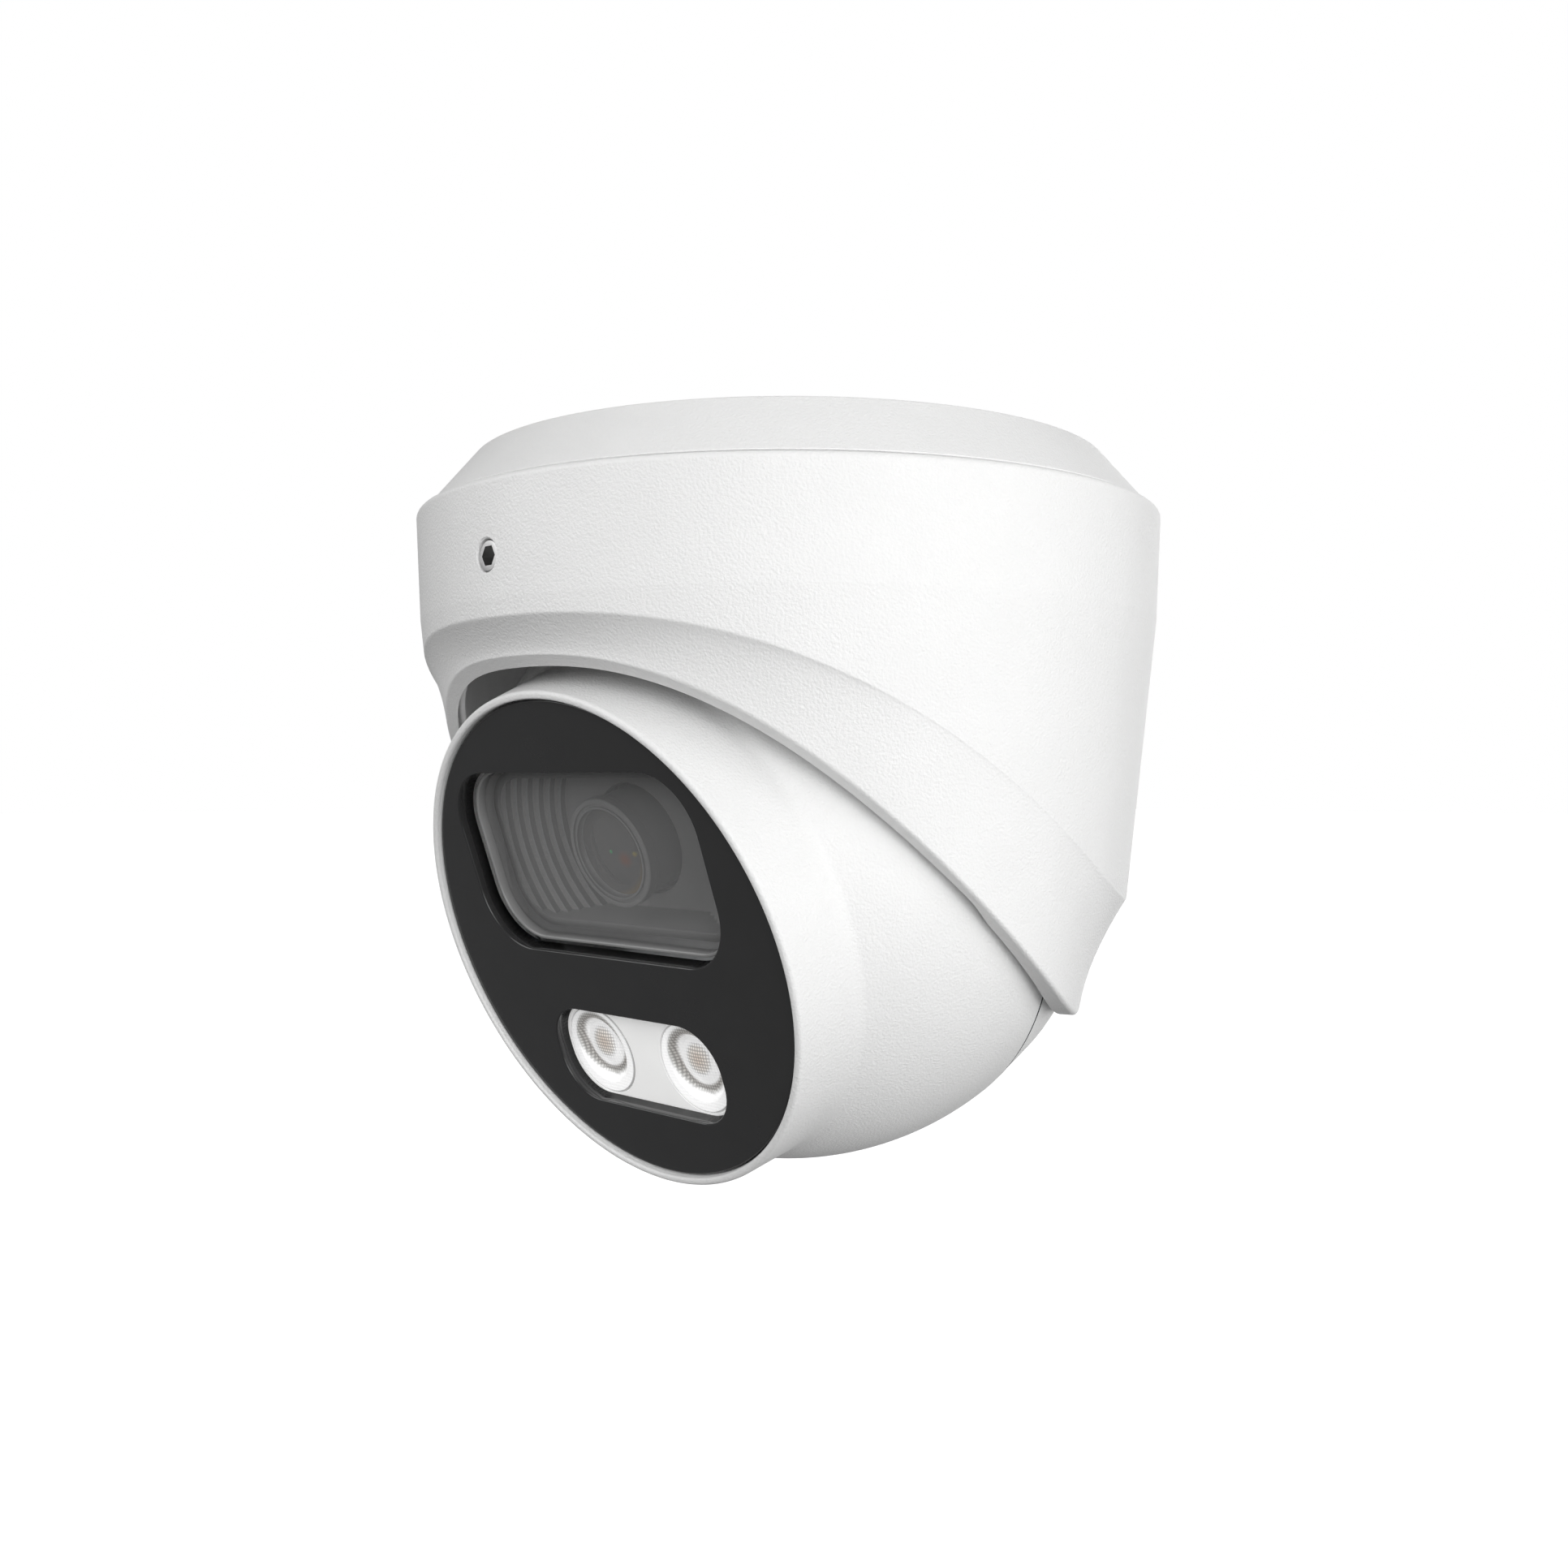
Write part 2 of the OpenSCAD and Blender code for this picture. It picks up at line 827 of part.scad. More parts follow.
module board_screws() {
    color("silver")
        in_ball()
            for (p = standoff_xy)
                translate([p[0], p[1], main_board_top - board_t])
                    small_screw(2.2, 1.4, 1.25, board_t);
}

module lamp_reflector() {
    top = plate_front - lamp_recess;
    color("white")
        in_ball()
            difference() {
                union() {
                    prism(top - 1.4, top)
                        lamp_outline(0.15);
                    prism(top - 4, top - 1.4)
                        lamp_outline(-0.8);
                }
                prism(top - 5, top - 1.5)
                    lamp_outline(0.8);
                at_lamps()
                    slab(0, 40, optic_r + 0.05);
            }
}

module lamp_optics() {
    top = plate_front - lamp_recess + optic_stand;
    color([0.92, 0.93, 0.9, 0.8])
        in_ball()
            at_lamps()
                difference() {
                    union() {
                        slab(top - 1.6, top, optic_r);
                        translate([0, 0, lamp_board_top + 0.9])
                            cylinder(r1 = 3.6, r2 = optic_r, h = top - 1.6 - lamp_board_top - 0.9 + eps);
                    }
                    slab(lamp_board_top, lamp_board_top + 2.6, 2.2);
                }
}

module lamp_leds() {
    color([0.95, 0.85, 0.45])
        in_ball()
            at_lamps()
                intersection() {
                    translate([-1.75, -1.75, lamp_board_top])
                        cube([3.5, 3.5, 1.6]);
                    translate([0, 0, lamp_board_top - 1.2])
                        sphere(r = 2.7);
                }
}

module lamp_board() {
    color([0.9, 0.9, 0.88])
        in_ball()
            prism(lamp_board_top - board_t, lamp_board_top)
                rounded_rect(-20, 20, lamp_y - 8, lamp_y + 8, 3);
}

mounting_base();
base_gasket();
cable_grommet();
snap_ring();
housing();
lip_liner();
pivot_pins();
set_screw();
tilt_yoke();
front_shell();
rear_shell();
seam_gasket();
shell_screws();
cable_gland();
face_plate();
window_gasket();
window_pane();
lens_shroud();
baffle_plate();
lens_barrel();
lens_ring();
front_element();
rear_element();
lens_holder();
image_sensor();
sensor_board();
inner_bracket();
bracket_screws();
standoffs();
main_board();
board_chips();
heat_sink();
board_screws();
lamp_reflector();
lamp_optics();
lamp_leds();
lamp_board();
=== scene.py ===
import json
import math

import bmesh
import bpy
from mathutils import Matrix, Vector


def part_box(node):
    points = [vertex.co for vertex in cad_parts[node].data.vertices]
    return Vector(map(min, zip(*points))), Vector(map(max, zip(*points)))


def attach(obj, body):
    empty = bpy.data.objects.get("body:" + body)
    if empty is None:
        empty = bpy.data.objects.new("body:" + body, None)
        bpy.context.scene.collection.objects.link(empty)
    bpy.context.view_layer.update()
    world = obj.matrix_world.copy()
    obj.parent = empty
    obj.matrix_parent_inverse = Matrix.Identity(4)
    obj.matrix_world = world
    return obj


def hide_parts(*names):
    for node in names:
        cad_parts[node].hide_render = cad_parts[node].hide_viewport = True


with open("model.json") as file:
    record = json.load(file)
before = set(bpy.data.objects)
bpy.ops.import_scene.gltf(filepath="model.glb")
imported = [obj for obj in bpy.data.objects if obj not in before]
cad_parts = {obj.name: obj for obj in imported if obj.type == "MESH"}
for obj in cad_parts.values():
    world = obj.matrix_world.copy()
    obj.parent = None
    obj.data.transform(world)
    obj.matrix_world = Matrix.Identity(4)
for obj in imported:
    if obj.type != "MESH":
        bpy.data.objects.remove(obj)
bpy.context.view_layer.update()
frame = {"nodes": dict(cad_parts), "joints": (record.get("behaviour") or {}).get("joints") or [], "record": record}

# Sizes below are in millimetres and meshes are written in metres.
MM = 0.001


# ---------------------------------------------------------------- the frame

def span(node):
    """Lowest and highest corner of a CAD node, in millimetres."""
    low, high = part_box(node)
    return low / MM, high / MM


joints = {j["name"]: j for j in frame["joints"]}
optical_axis = Vector(joints["roll"]["axis"])
ball_z = joints["tilt"]["pos_m"][2] / MM
rest_tilt = math.degrees(math.asin(-optical_axis.z))

# Ball axes: X to the right of the face, Y up the face, Z out along the optical axis
IN_BALL = (Matrix.Translation((0, 0, ball_z))
           @ Matrix.Rotation(math.radians(90 + rest_tilt), 4, "X"))
IN_HOUSING = Matrix.Identity(4)

housing_high = span("housing")[1]
screw_low, screw_high = span("set_screw")

# Housing: wall, taper and cavity
housing_r = housing_high.x
housing_top = housing_high.z
bore_r = 49.44
bore_step = 0.1
taper_z = -23.6
taper_r = 54.4
taper_rate = 0.105
cavity_z = -61.5
cavity_r = 48.4
socket_r = 48.0
socket_blend = 3

# Wall's slanted lower edge, the lip under it and the lip's narrowing. Each has its
# value at the front, its change to the back, the angle from the front at which the
# change is complete (reach) and how gently it starts (power)
edge_front = -26
edge_drop = 37.6
edge_reach = 120
edge_power = 1.4
lip_front = -30.7
lip_drop = 48.7
lip_reach = 111
lip_power = 1.26
lip_front_r = 50.9
lip_r_loss = 7.3
narrow_reach = 121
narrow_power = 2.7
lip_slope = 0.86

# Set screw
screw_z = (screw_low.z + screw_high.z) / 2
screw_r = 2
screw_face = 54.3
screw_tip = 49.7
screw_hole_r = 2.15
socket_hex_r = 1.42
socket_depth = 2.2

# Mounting base
base_top_r = 46.8
base_low_r = 53.5
base_plate_z = -4.5
groove_in_r = 41.4
groove_out_r = 44.6
groove_z = -1.2
skirt_r = 49.4
skirt_in_r = 46.9
skirt_z = -21
bolt_circle_r = 37
bolt_hole_r = 2.3
grommet_r = 9

# Ball, its two shells and the stub at its back
ball_r = 46.8
shell_inner_r = 44.4
seam_half = 0.15
rim_front = 39.0
rim_r = 36.0
barrel_bore_r = 33.2
barrel_draft = 0.117
fillet_r = 3.0
fillet_z = 29.65
stub_r = 7
stub_bore_r = 4.5
stub_end = -48
rear_flat = -45.6
rear_wall = -43.6
shell_boss_r = 40
screw_recess_r = 3.1
screw_seat = -9.5

# Face plate, lens and lamps, as heights along the optical axis and places on the face
well_r = 34.9
plate_front = 38.3
plate_back = 35.7
lens_y = 11.1
lens_front = 33.0
lens_r = 7.95
lens_step = 31.4
glass_r = 6.35
floor_z = 27.2
pane_back = 33.1
pane_front = 34.05
window_half_w = 25.1
window_bottom = -2.0
window_top = 24.6
window_corner_r = 8.5
lamp_y = -18.15
lamp_x = 10.0
lamp_margin = 0.45
lamp_corner_r = 6.4
optic_r = 6.75


# ------------------------------------------------------------- mesh building

def clean_mesh(name, verts, faces):
    """Mesh in metres with merged poles, no empty faces and outward normals."""
    mesh = bpy.data.meshes.new(name)
    mesh.from_pydata([Vector(v) * MM for v in verts], [], faces)
    bm = bmesh.new()
    bm.from_mesh(mesh)
    bmesh.ops.remove_doubles(bm, verts=bm.verts, dist=1e-7)
    bmesh.ops.dissolve_degenerate(bm, dist=1e-7, edges=bm.edges)
    bmesh.ops.recalc_face_normals(bm, faces=bm.faces)
    bm.to_mesh(mesh)
    bm.free()
    return mesh


def stand(name, mesh, place=None):
    """Puts a mesh into the scene, moved to a place given in millimetres."""
    piece = bpy.data.objects.new(name, mesh)
    bpy.context.scene.collection.objects.link(piece)
    if place is not None:
        piece.matrix_world = Matrix.Scale(MM, 4) @ place @ Matrix.Scale(1 / MM, 4)
    return piece


def make(name, verts, faces, body, material, replaced, place=IN_HOUSING, finish=True,
         own_axes=False):
    """One smooth piece riding on a body, from vertices in millimetres.

    Its mesh is written in the frame, unless own_axes keeps the material's pattern
    in the piece's own axes.
    """
    if not own_axes:
        verts = [place @ Vector(v) for v in verts]
    mesh = clean_mesh(name, verts, faces)
    mesh.shade_smooth()
    piece = stand(name, mesh, place if own_axes else None)
    mesh.materials.append(MATERIALS[material])
    if finish:
        finish_normals(piece)
    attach(piece, body)
    if replaced:
        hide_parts(*replaced)
    return piece


def finish_normals(piece):
    weights = piece.modifiers.new("Normals", "WEIGHTED_NORMAL")
    weights.keep_sharp = True


def mix(a, b, t):
    """Value at share t of the way from a to b."""
    return a + (b - a) * t


def rounded(corners, steps=5):
    """Closed outline from (x, y, radius) corners, each turned into an arc."""
    points = []
    count = len(corners)
    for i, (x, y, radius) in enumerate(corners):
        here = Vector((x, y))
        if not radius:
            points.append(here)
            continue
        back = Vector(corners[i - 1][:2]) - here
        ahead = Vector(corners[(i + 1) % count][:2]) - here
        angle = back.angle(ahead)
        reach = min(radius / math.tan(angle / 2), 0.49 * back.length, 0.49 * ahead.length)
        radius = reach * math.tan(angle / 2)
        middle = here + (back.normalized() + ahead.normalized()).normalized() * (
            radius / math.sin(angle / 2))
        start = here + back.normalized() * reach - middle
        end = here + ahead.normalized() * reach - middle
        turn = start.angle_signed(end)
        for k in range(steps + 1):
            points.append(middle + Matrix.Rotation(-turn * k / steps, 2) @ start)
    return points


def arc(centre, radius, start, end, steps):
    """Points on a circle, angles in degrees."""
    return [(centre[0] + radius * math.cos(math.radians(mix(start, end, k / steps))),
             centre[1] + radius * math.sin(math.radians(mix(start, end, k / steps))))
            for k in range(steps + 1)]


def sphere_run(radius, low, high, steps):
    """Corners along a ball's side from height low to height high."""
    start, end = math.asin(low / radius), math.asin(high / radius)
    return [(radius * math.cos(mix(start, end, k / steps)),
             radius * math.sin(mix(start, end, k / steps)), 0) for k in range(steps + 1)]


def ring_faces(columns, rows, closed=True):
    """Quads between neighbouring columns of a closed section."""
    faces = []
    for i in range(columns if closed else columns - 1):
        i2 = (i + 1) % columns
        for j in range(rows):
            j2 = (j + 1) % rows
            faces.append((i * rows + j, i * rows + j2, i2 * rows + j2, i2 * rows + j))
    if not closed:
        faces.append(tuple(range(rows)))
        faces.append(tuple((columns - 1) * rows + j for j in reversed(range(rows))))
    return faces


def turned(profile, turns):
    """Vertices of a closed profile of (radius, height) turned round the Z axis."""
    return [(r * math.cos(a), r * math.sin(a), z)
            for a in (2 * math.pi * i / turns for i in range(turns)) for r, z in profile]


def lathe(name, profile, body, material, replaced, place=IN_HOUSING, turns=256, finish=True,
          own_axes=False):
    return make(name, turned(profile, turns), ring_faces(turns, len(profile)), body, material,
                replaced, place, finish, own_axes)


def sweep(name, section, angles, body, material, replaced, closed=True, finish=True):
    """section(angle) gives a closed (radius, height) outline at each angle from the front."""
    verts = []
    for a in angles:
        rows = section(a)
        verts += [(r * math.sin(math.radians(a)), -r * math.cos(math.radians(a)), z)
                  for r, z in rows]
    return make(name, verts, ring_faces(len(angles), len(rows), closed), body, material,
                replaced, finish=finish)


def follow(name, loop, section, body, material, replaced):
    """Closed section of (inset, height) carried round an outline on the ball's face."""
    columns = [loop(inset) for inset, _ in section]
    verts = [(*columns[j][i], section[j][1])
             for i in range(len(columns[0])) for j in range(len(section))]
    return make(name, verts, ring_faces(len(columns[0]), len(section)), body, material,
                replaced, IN_BALL)


def panel(name, back, front, outer, holes, edge, body, material, replaced):
    """Flat plate across the ball's face, with rounded front edges round outline and holes."""
    bm = bmesh.new()
    rolls = [(0, back), (0, front - edge)]
    rolls += [(edge * (1 - math.cos(t)), front - edge * (1 - math.sin(t)))
              for t in (math.pi / 8, math.pi / 4, 3 * math.pi / 8, math.pi / 2)]
    rims = {back: [], front: []}
    for loop, side in [(outer, 1)] + [(hole, -1) for hole in holes]:
        rows = [[bm.verts.new((*(Vector(p) * MM), z * MM)) for p in loop(side * inset)]
                for inset, z in rolls]
        for low, high in zip(rows, rows[1:]):
            for i in range(len(low)):
                k = (i + 1) % len(low)
                bm.faces.new((low[i], low[k], high[k], high[i]))
        for z, row in ((back, rows[0]), (front, rows[-1])):
            rims[z] += [bm.edges.get((row[i], row[(i + 1) % len(row)]))
                        for i in range(len(row))]
    for edges in rims.values():
        bmesh.ops.triangle_fill(bm, use_beauty=True, use_dissolve=False, edges=edges)
    bmesh.ops.recalc_face_normals(bm, faces=bm.faces)
    verts = [v.co / MM for v in bm.verts]
    bm.verts.index_update()
    faces = [[v.index for v in f.verts] for f in bm.faces]
    bm.free()
    return make(name, verts, faces, body, material, replaced, IN_BALL)


def cut(piece, cutters):
    """Takes the cutters out of the piece and deletes them."""
    for cutter in cutters:
        step = piece.modifiers.new("Cut", "BOOLEAN")
        step.operation, step.solver, step.object = "DIFFERENCE", "EXACT", cutter
    graph = bpy.context.evaluated_depsgraph_get()
    mesh = bpy.data.meshes.new_from_object(piece.evaluated_get(graph))
    piece.modifiers.clear()
    old, piece.data = piece.data, mesh
    bpy.data.meshes.remove(old)
    for cutter in cutters:
        bpy.data.meshes.remove(cutter.data)
    finish_normals(piece)


def cutter(profile, place, sides=48):
    """Turned solid that is only used for cutting."""
    mesh = clean_mesh("cutter", turned(profile, sides), ring_faces(sides, len(profile)))
    piece = stand("cutter", mesh, place)
    bpy.context.view_layer.update()
    return piece


def three_round(place, radius):
    """Three places on a circle round the place's Z axis, one of them along its +Y."""
    return [place @ Matrix.Rotation(math.radians(a), 4, "Z") @ Matrix.Translation((radius, 0, 0))
            for a in (90, 210, 330)]


def drill(radius, bottom, top):
    """Profile of a plain round cutter."""
    return [(0, bottom), (radius, bottom), (radius, top), (0, top)]


# ---------------------------------------------------------------- materials

class Surface:
    """A Principled material whose detail is laid out in millimetres."""

    def __init__(self, name, colour, roughness, metallic=0.0, **sockets):
        self.material = bpy.data.materials.new(name)
        self.material.use_nodes = True
        self.tree = self.material.node_tree
        self.shader = self.tree.nodes["Principled BSDF"]
        self.shader.inputs["Base Color"].default_value = (*colour, 1)
        self.shader.inputs["Roughness"].default_value = roughness
        self.shader.inputs["Metallic"].default_value = metallic
        for key, value in sockets.items():
            self.shader.inputs[key.replace("_", " ")].default_value = value
        place = self.node("ShaderNodeTexCoord")
        self.space = self.node("ShaderNodeMapping")
        self.space.inputs["Scale"].default_value = (1 / MM,) * 3
        self.link(place.outputs["Object"], self.space.inputs["Vector"])
        self.colour, self.roughness = colour, roughness

    def node(self, kind, **settings):
        made = self.tree.nodes.new(kind)
        for key, value in settings.items():
            setattr(made, key, value)
        return made

    def link(self, source, target):
        self.tree.links.new(source, target)

    def noise(self, per_mm, detail=3.0, stretch=(1, 1, 1)):
        lay = self.node("ShaderNodeMapping")
        lay.inputs["Scale"].default_value = stretch
        self.link(self.space.outputs["Vector"], lay.inputs["Vector"])
        made = self.node("ShaderNodeTexNoise")
        made.inputs["Scale"].default_value = per_mm
        made.inputs["Detail"].default_value = detail
        self.link(lay.outputs["Vector"], made.inputs["Vector"])
        return made.outputs["Fac"]

    def cells(self, per_mm, feature="F1"):
        made = self.node("ShaderNodeTexVoronoi", feature=feature)
        made.inputs["Scale"].default_value = per_mm
        self.link(self.space.outputs["Vector"], made.inputs["Vector"])
        return made.outputs["Distance"]

    def ramp(self, source, stops):
        made = self.node("ShaderNodeValToRGB")
        points = made.color_ramp.elements
        while len(points) < len(stops):
            points.new(0.5)
        for point, (at, colour) in zip(points, stops):
            point.position = at
            point.color = (*colour, 1) if isinstance(colour, tuple) else (colour,) * 3 + (1,)
        self.link(source, made.inputs["Fac"])
        return made.outputs["Color"]

    def tint(self, source, amount):
        """Colour varies by the given share, darker where the pattern is low."""
        low = tuple(c * (1 - amount) for c in self.colour)
        self.link(self.ramp(source, [(0.3, low), (0.7, self.colour)]),
                  self.shader.inputs["Base Color"])
        return self

    def wear(self, source, amount):
        made = self.node("ShaderNodeMapRange")
        made.inputs["To Min"].default_value = max(0.0, self.roughness - amount)
        made.inputs["To Max"].default_value = min(1.0, self.roughness + amount)
        self.link(source, made.inputs["Value"])
        self.link(made.outputs["Result"], self.shader.inputs["Roughness"])
        return self

    def bump(self, source, depth_mm, strength=1.0):
        made = self.node("ShaderNodeBump")
        made.inputs["Strength"].default_value = strength
        made.inputs["Distance"].default_value = depth_mm * MM
        self.link(source, made.inputs["Height"])
        before = self.shader.inputs["Normal"].links
        if before:
            self.link(before[0].from_socket, made.inputs["Normal"])
        self.link(made.outputs["Normal"], self.shader.inputs["Normal"])
        return self


def powder_coat():
    s = Surface("powder_coat", (0.80, 0.80, 0.797), 0.48)
    s.tint(s.noise(0.12, 4), 0.02)
    s.wear(s.noise(0.9, 3), 0.08)
    return s.bump(s.noise(2.9, 1.5), 0.11, 0.9)


def moulded(name, colour, roughness, grain_mm=0.25, depth=0.01, **sockets):
    s = Surface(name, colour, roughness, **sockets)
    s.tint(s.noise(0.2, 4), 0.08)
    s.wear(s.noise(0.6, 4), 0.06)
    return s.bump(s.noise(1 / grain_mm, 3), depth, 0.5)


def turned_metal(name, colour, roughness, stretch=(1, 1, 14)):
    s = Surface(name, colour, roughness, 1.0)
    s.tint(s.noise(0.5, 4), 0.12)
    s.wear(s.noise(1.5, 5, stretch), 0.10)
    return s.bump(s.noise(2.0, 4, stretch), 0.006, 0.5)


def cast_alloy():
    s = Surface("cast_alloy", (0.56, 0.57, 0.58), 0.42, 1.0)
    s.tint(s.noise(0.4, 5), 0.15)
    s.wear(s.noise(1.0, 4), 0.12)
    return s.bump(s.cells(1.5), 0.02, 0.4)


def circuit_board():
    s = Surface("circuit_board", (0.02, 0.16, 0.07), 0.35, Coat_Weight=0.4)
    tracks = s.node("ShaderNodeTexBrick")
    tracks.inputs["Scale"].default_value = 0.35
    tracks.inputs["Mortar Size"].default_value = 0.03
    tracks.inputs["Color1"].default_value = (0.015, 0.13, 0.055, 1)
    tracks.inputs["Color2"].default_value = (0.02, 0.16, 0.07, 1)
    tracks.inputs["Mortar"].default_value = (0.05, 0.28, 0.13, 1)
    s.link(s.space.outputs["Vector"], tracks.inputs["Vector"])
    s.link(tracks.outputs["Color"], s.shader.inputs["Base Color"])
    s.wear(s.noise(0.8, 3), 0.08)
    return s.bump(tracks.outputs["Fac"], 0.03, 0.4)


def painted_side_shade(name, face, side, roughness):
    """Plastic with painted shade: its sides, turned away from the optical axis, are painted darker than its faces.
    """
    s = Surface(name, (face,) * 3, roughness)
    place = s.node("ShaderNodeTexCoord")
    facing = s.node("ShaderNodeVectorMath", operation="DOT_PRODUCT")
    facing.inputs[1].default_value = optical_axis
    s.link(place.outputs["Normal"], facing.inputs[0])
    # Painted shade: the colour darkens where the normal turns away from the optical axis.
    s.link(s.ramp(facing.outputs["Value"], [(0.3, side), (0.9, face)]),
           s.shader.inputs["Base Color"])
    s.wear(s.noise(0.6, 4), 0.06)
    return s.bump(s.noise(4.0, 3), 0.01, 0.5)


def glass_with_painted_glints():
    """Dark coated glass with painted reflections: a warm crescent and three small coloured glints."""
    s = Surface("optical_glass", (0.035, 0.035, 0.04), 0.04, Coat_Weight=1.0,
                Coat_Roughness=0.02, IOR=1.6)
    base = s.ramp(s.noise(0.5, 3), [(0.3, (0.10, 0.10, 0.10)), (0.7, (0.12, 0.115, 0.11))])
    # Painted reflections: the first entry lays the warm crescent, the others small coloured glints, at fixed
    # places on the glass.
    for x, y, reach, near, colour in ((-1.6, 0.8, 6.35, 1.25, (0.30, 0.20, 0.07)),
                                      (2.6, -0.9, 1.5, 0.0, (0.22, 0.07, 0.04)),
                                      (0.4, 0.3, 0.40, 0.0, (0.05, 0.55, 0.18)),
                                      (4.4, -0.2, 0.55, 0.0, (0.40, 0.32, 0.05))):
        middle = s.node("ShaderNodeVectorMath", operation="MULTIPLY_ADD")
        middle.inputs[1].default_value = (1 / reach, 1 / reach, 0)
        middle.inputs[2].default_value = (-x / reach, -y / reach, 0)
        s.link(s.space.outputs["Vector"], middle.inputs[0])
        away = s.node("ShaderNodeVectorMath", operation="LENGTH")
        s.link(middle.outputs["Vector"], away.inputs[0])
        glint_spot = s.node("ShaderNodeMapRange", interpolation_type="SMOOTHSTEP")
        glint_spot.inputs["From Min"].default_value = 1.02 if near else 1.0
        glint_spot.inputs["From Max"].default_value = near or 0.1
        s.link(away.outputs["Value"], glint_spot.inputs["Value"])
        glinted = s.node("ShaderNodeMix", data_type="RGBA")
        glinted.inputs["B"].default_value = (*colour, 1)
        s.link(glint_spot.outputs["Result"], glinted.inputs["Factor"])
        s.link(base, glinted.inputs["A"])
        base = glinted.outputs["Result"]
    s.link(base, s.shader.inputs["Base Color"])
    return s.wear(s.noise(0.5, 3), 0.02)


def lamp_optic():
    """Moulded optic: bright collar, dotted grey ring, fly's-eye middle over the chip; the pattern's colour also
    drives an emission, a painted glow though the lamp is off.
    """
    s = Surface("lamp_optic", (0.92, 0.92, 0.90), 0.14, Coat_Weight=0.6,
                Emission_Strength=0.32)
    flat = s.node("ShaderNodeVectorMath", operation="MULTIPLY_ADD")
    flat.inputs[1].default_value = (1 / optic_r, 1 / optic_r, 0)
    flat.inputs[2].default_value = (0, -0.13, 0)
    s.link(s.space.outputs["Vector"], flat.inputs[0])
    radius = s.node("ShaderNodeVectorMath", operation="LENGTH")
    s.link(flat.outputs["Vector"], radius.inputs[0])
    grid = s.node("ShaderNodeTexVoronoi", feature="F1", voronoi_dimensions="2D")
    grid.inputs["Scale"].default_value = 2.1
    grid.inputs["Randomness"].default_value = 0.0
    s.link(s.space.outputs["Vector"], grid.inputs["Vector"])
    rings = s.ramp(radius.outputs["Value"], [
        (0.08, (0.78, 0.69, 0.62)), (0.26, (0.88, 0.84, 0.80)), (0.34, (1.0, 1.0, 1.0)),
        (0.54, (1.0, 1.0, 1.0)), (0.62, (0.45, 0.43, 0.41)), (0.70, (0.50, 0.49, 0.47)),
        (0.78, (1.0, 1.0, 1.0))])
    dots = s.ramp(grid.outputs["Distance"], [(0.15, 1.0), (0.5, 0.42)])
    both = s.node("ShaderNodeMix", data_type="RGBA", blend_type="MULTIPLY")
    within = s.ramp(radius.outputs["Value"], [(0.30, 0.9), (0.40, 0.25), (0.55, 0.25),
                                              (0.62, 0.9), (0.72, 0.8), (0.80, 0.0)])
    s.link(within, both.inputs["Factor"])
    s.link(rings, both.inputs["A"])
    s.link(dots, both.inputs["B"])
    across = s.node("ShaderNodeVectorMath", operation="MULTIPLY")
    across.inputs[1].default_value = (1 / optic_r, 1 / optic_r, 0)
    s.link(s.space.outputs["Vector"], across.inputs[0])
    rim = s.node("ShaderNodeVectorMath", operation="LENGTH")
    s.link(across.outputs["Vector"], rim.inputs[0])
    edge = s.node("ShaderNodeMix", data_type="RGBA", blend_type="MULTIPLY")
    edge.inputs["Factor"].default_value = 1.0
    s.link(both.outputs["Result"], edge.inputs["A"])
    s.link(s.ramp(rim.outputs["Value"], [(0.955, 1.0), (0.98, 0.35)]), edge.inputs["B"])
    s.link(edge.outputs["Result"], s.shader.inputs["Base Color"])
    # Painted glow: the optic's pattern colour is also its emission.
    s.link(edge.outputs["Result"], s.shader.inputs["Emission Color"])
    s.wear(s.noise(1.0, 3), 0.03)
    return s.bump(grid.outputs["Distance"], 0.12, 0.5)


def phosphor():
    s = Surface("phosphor", (0.90, 0.72, 0.25), 0.5)
    s.tint(s.noise(2.0, 4), 0.15)
    return s.bump(s.noise(6.0, 3), 0.02, 0.5)


def clear_pane():
    # The pane's grey colour, seen at partial alpha, is a painted reflection: a grey haze over the lens well in
    # place of the glass reflecting the studio.
    s = Surface("clear_pane", (0.235, 0.235, 0.235), 0.05, Alpha=0.36, IOR=1.5)
    return s.wear(s.noise(0.1, 3), 0.015)


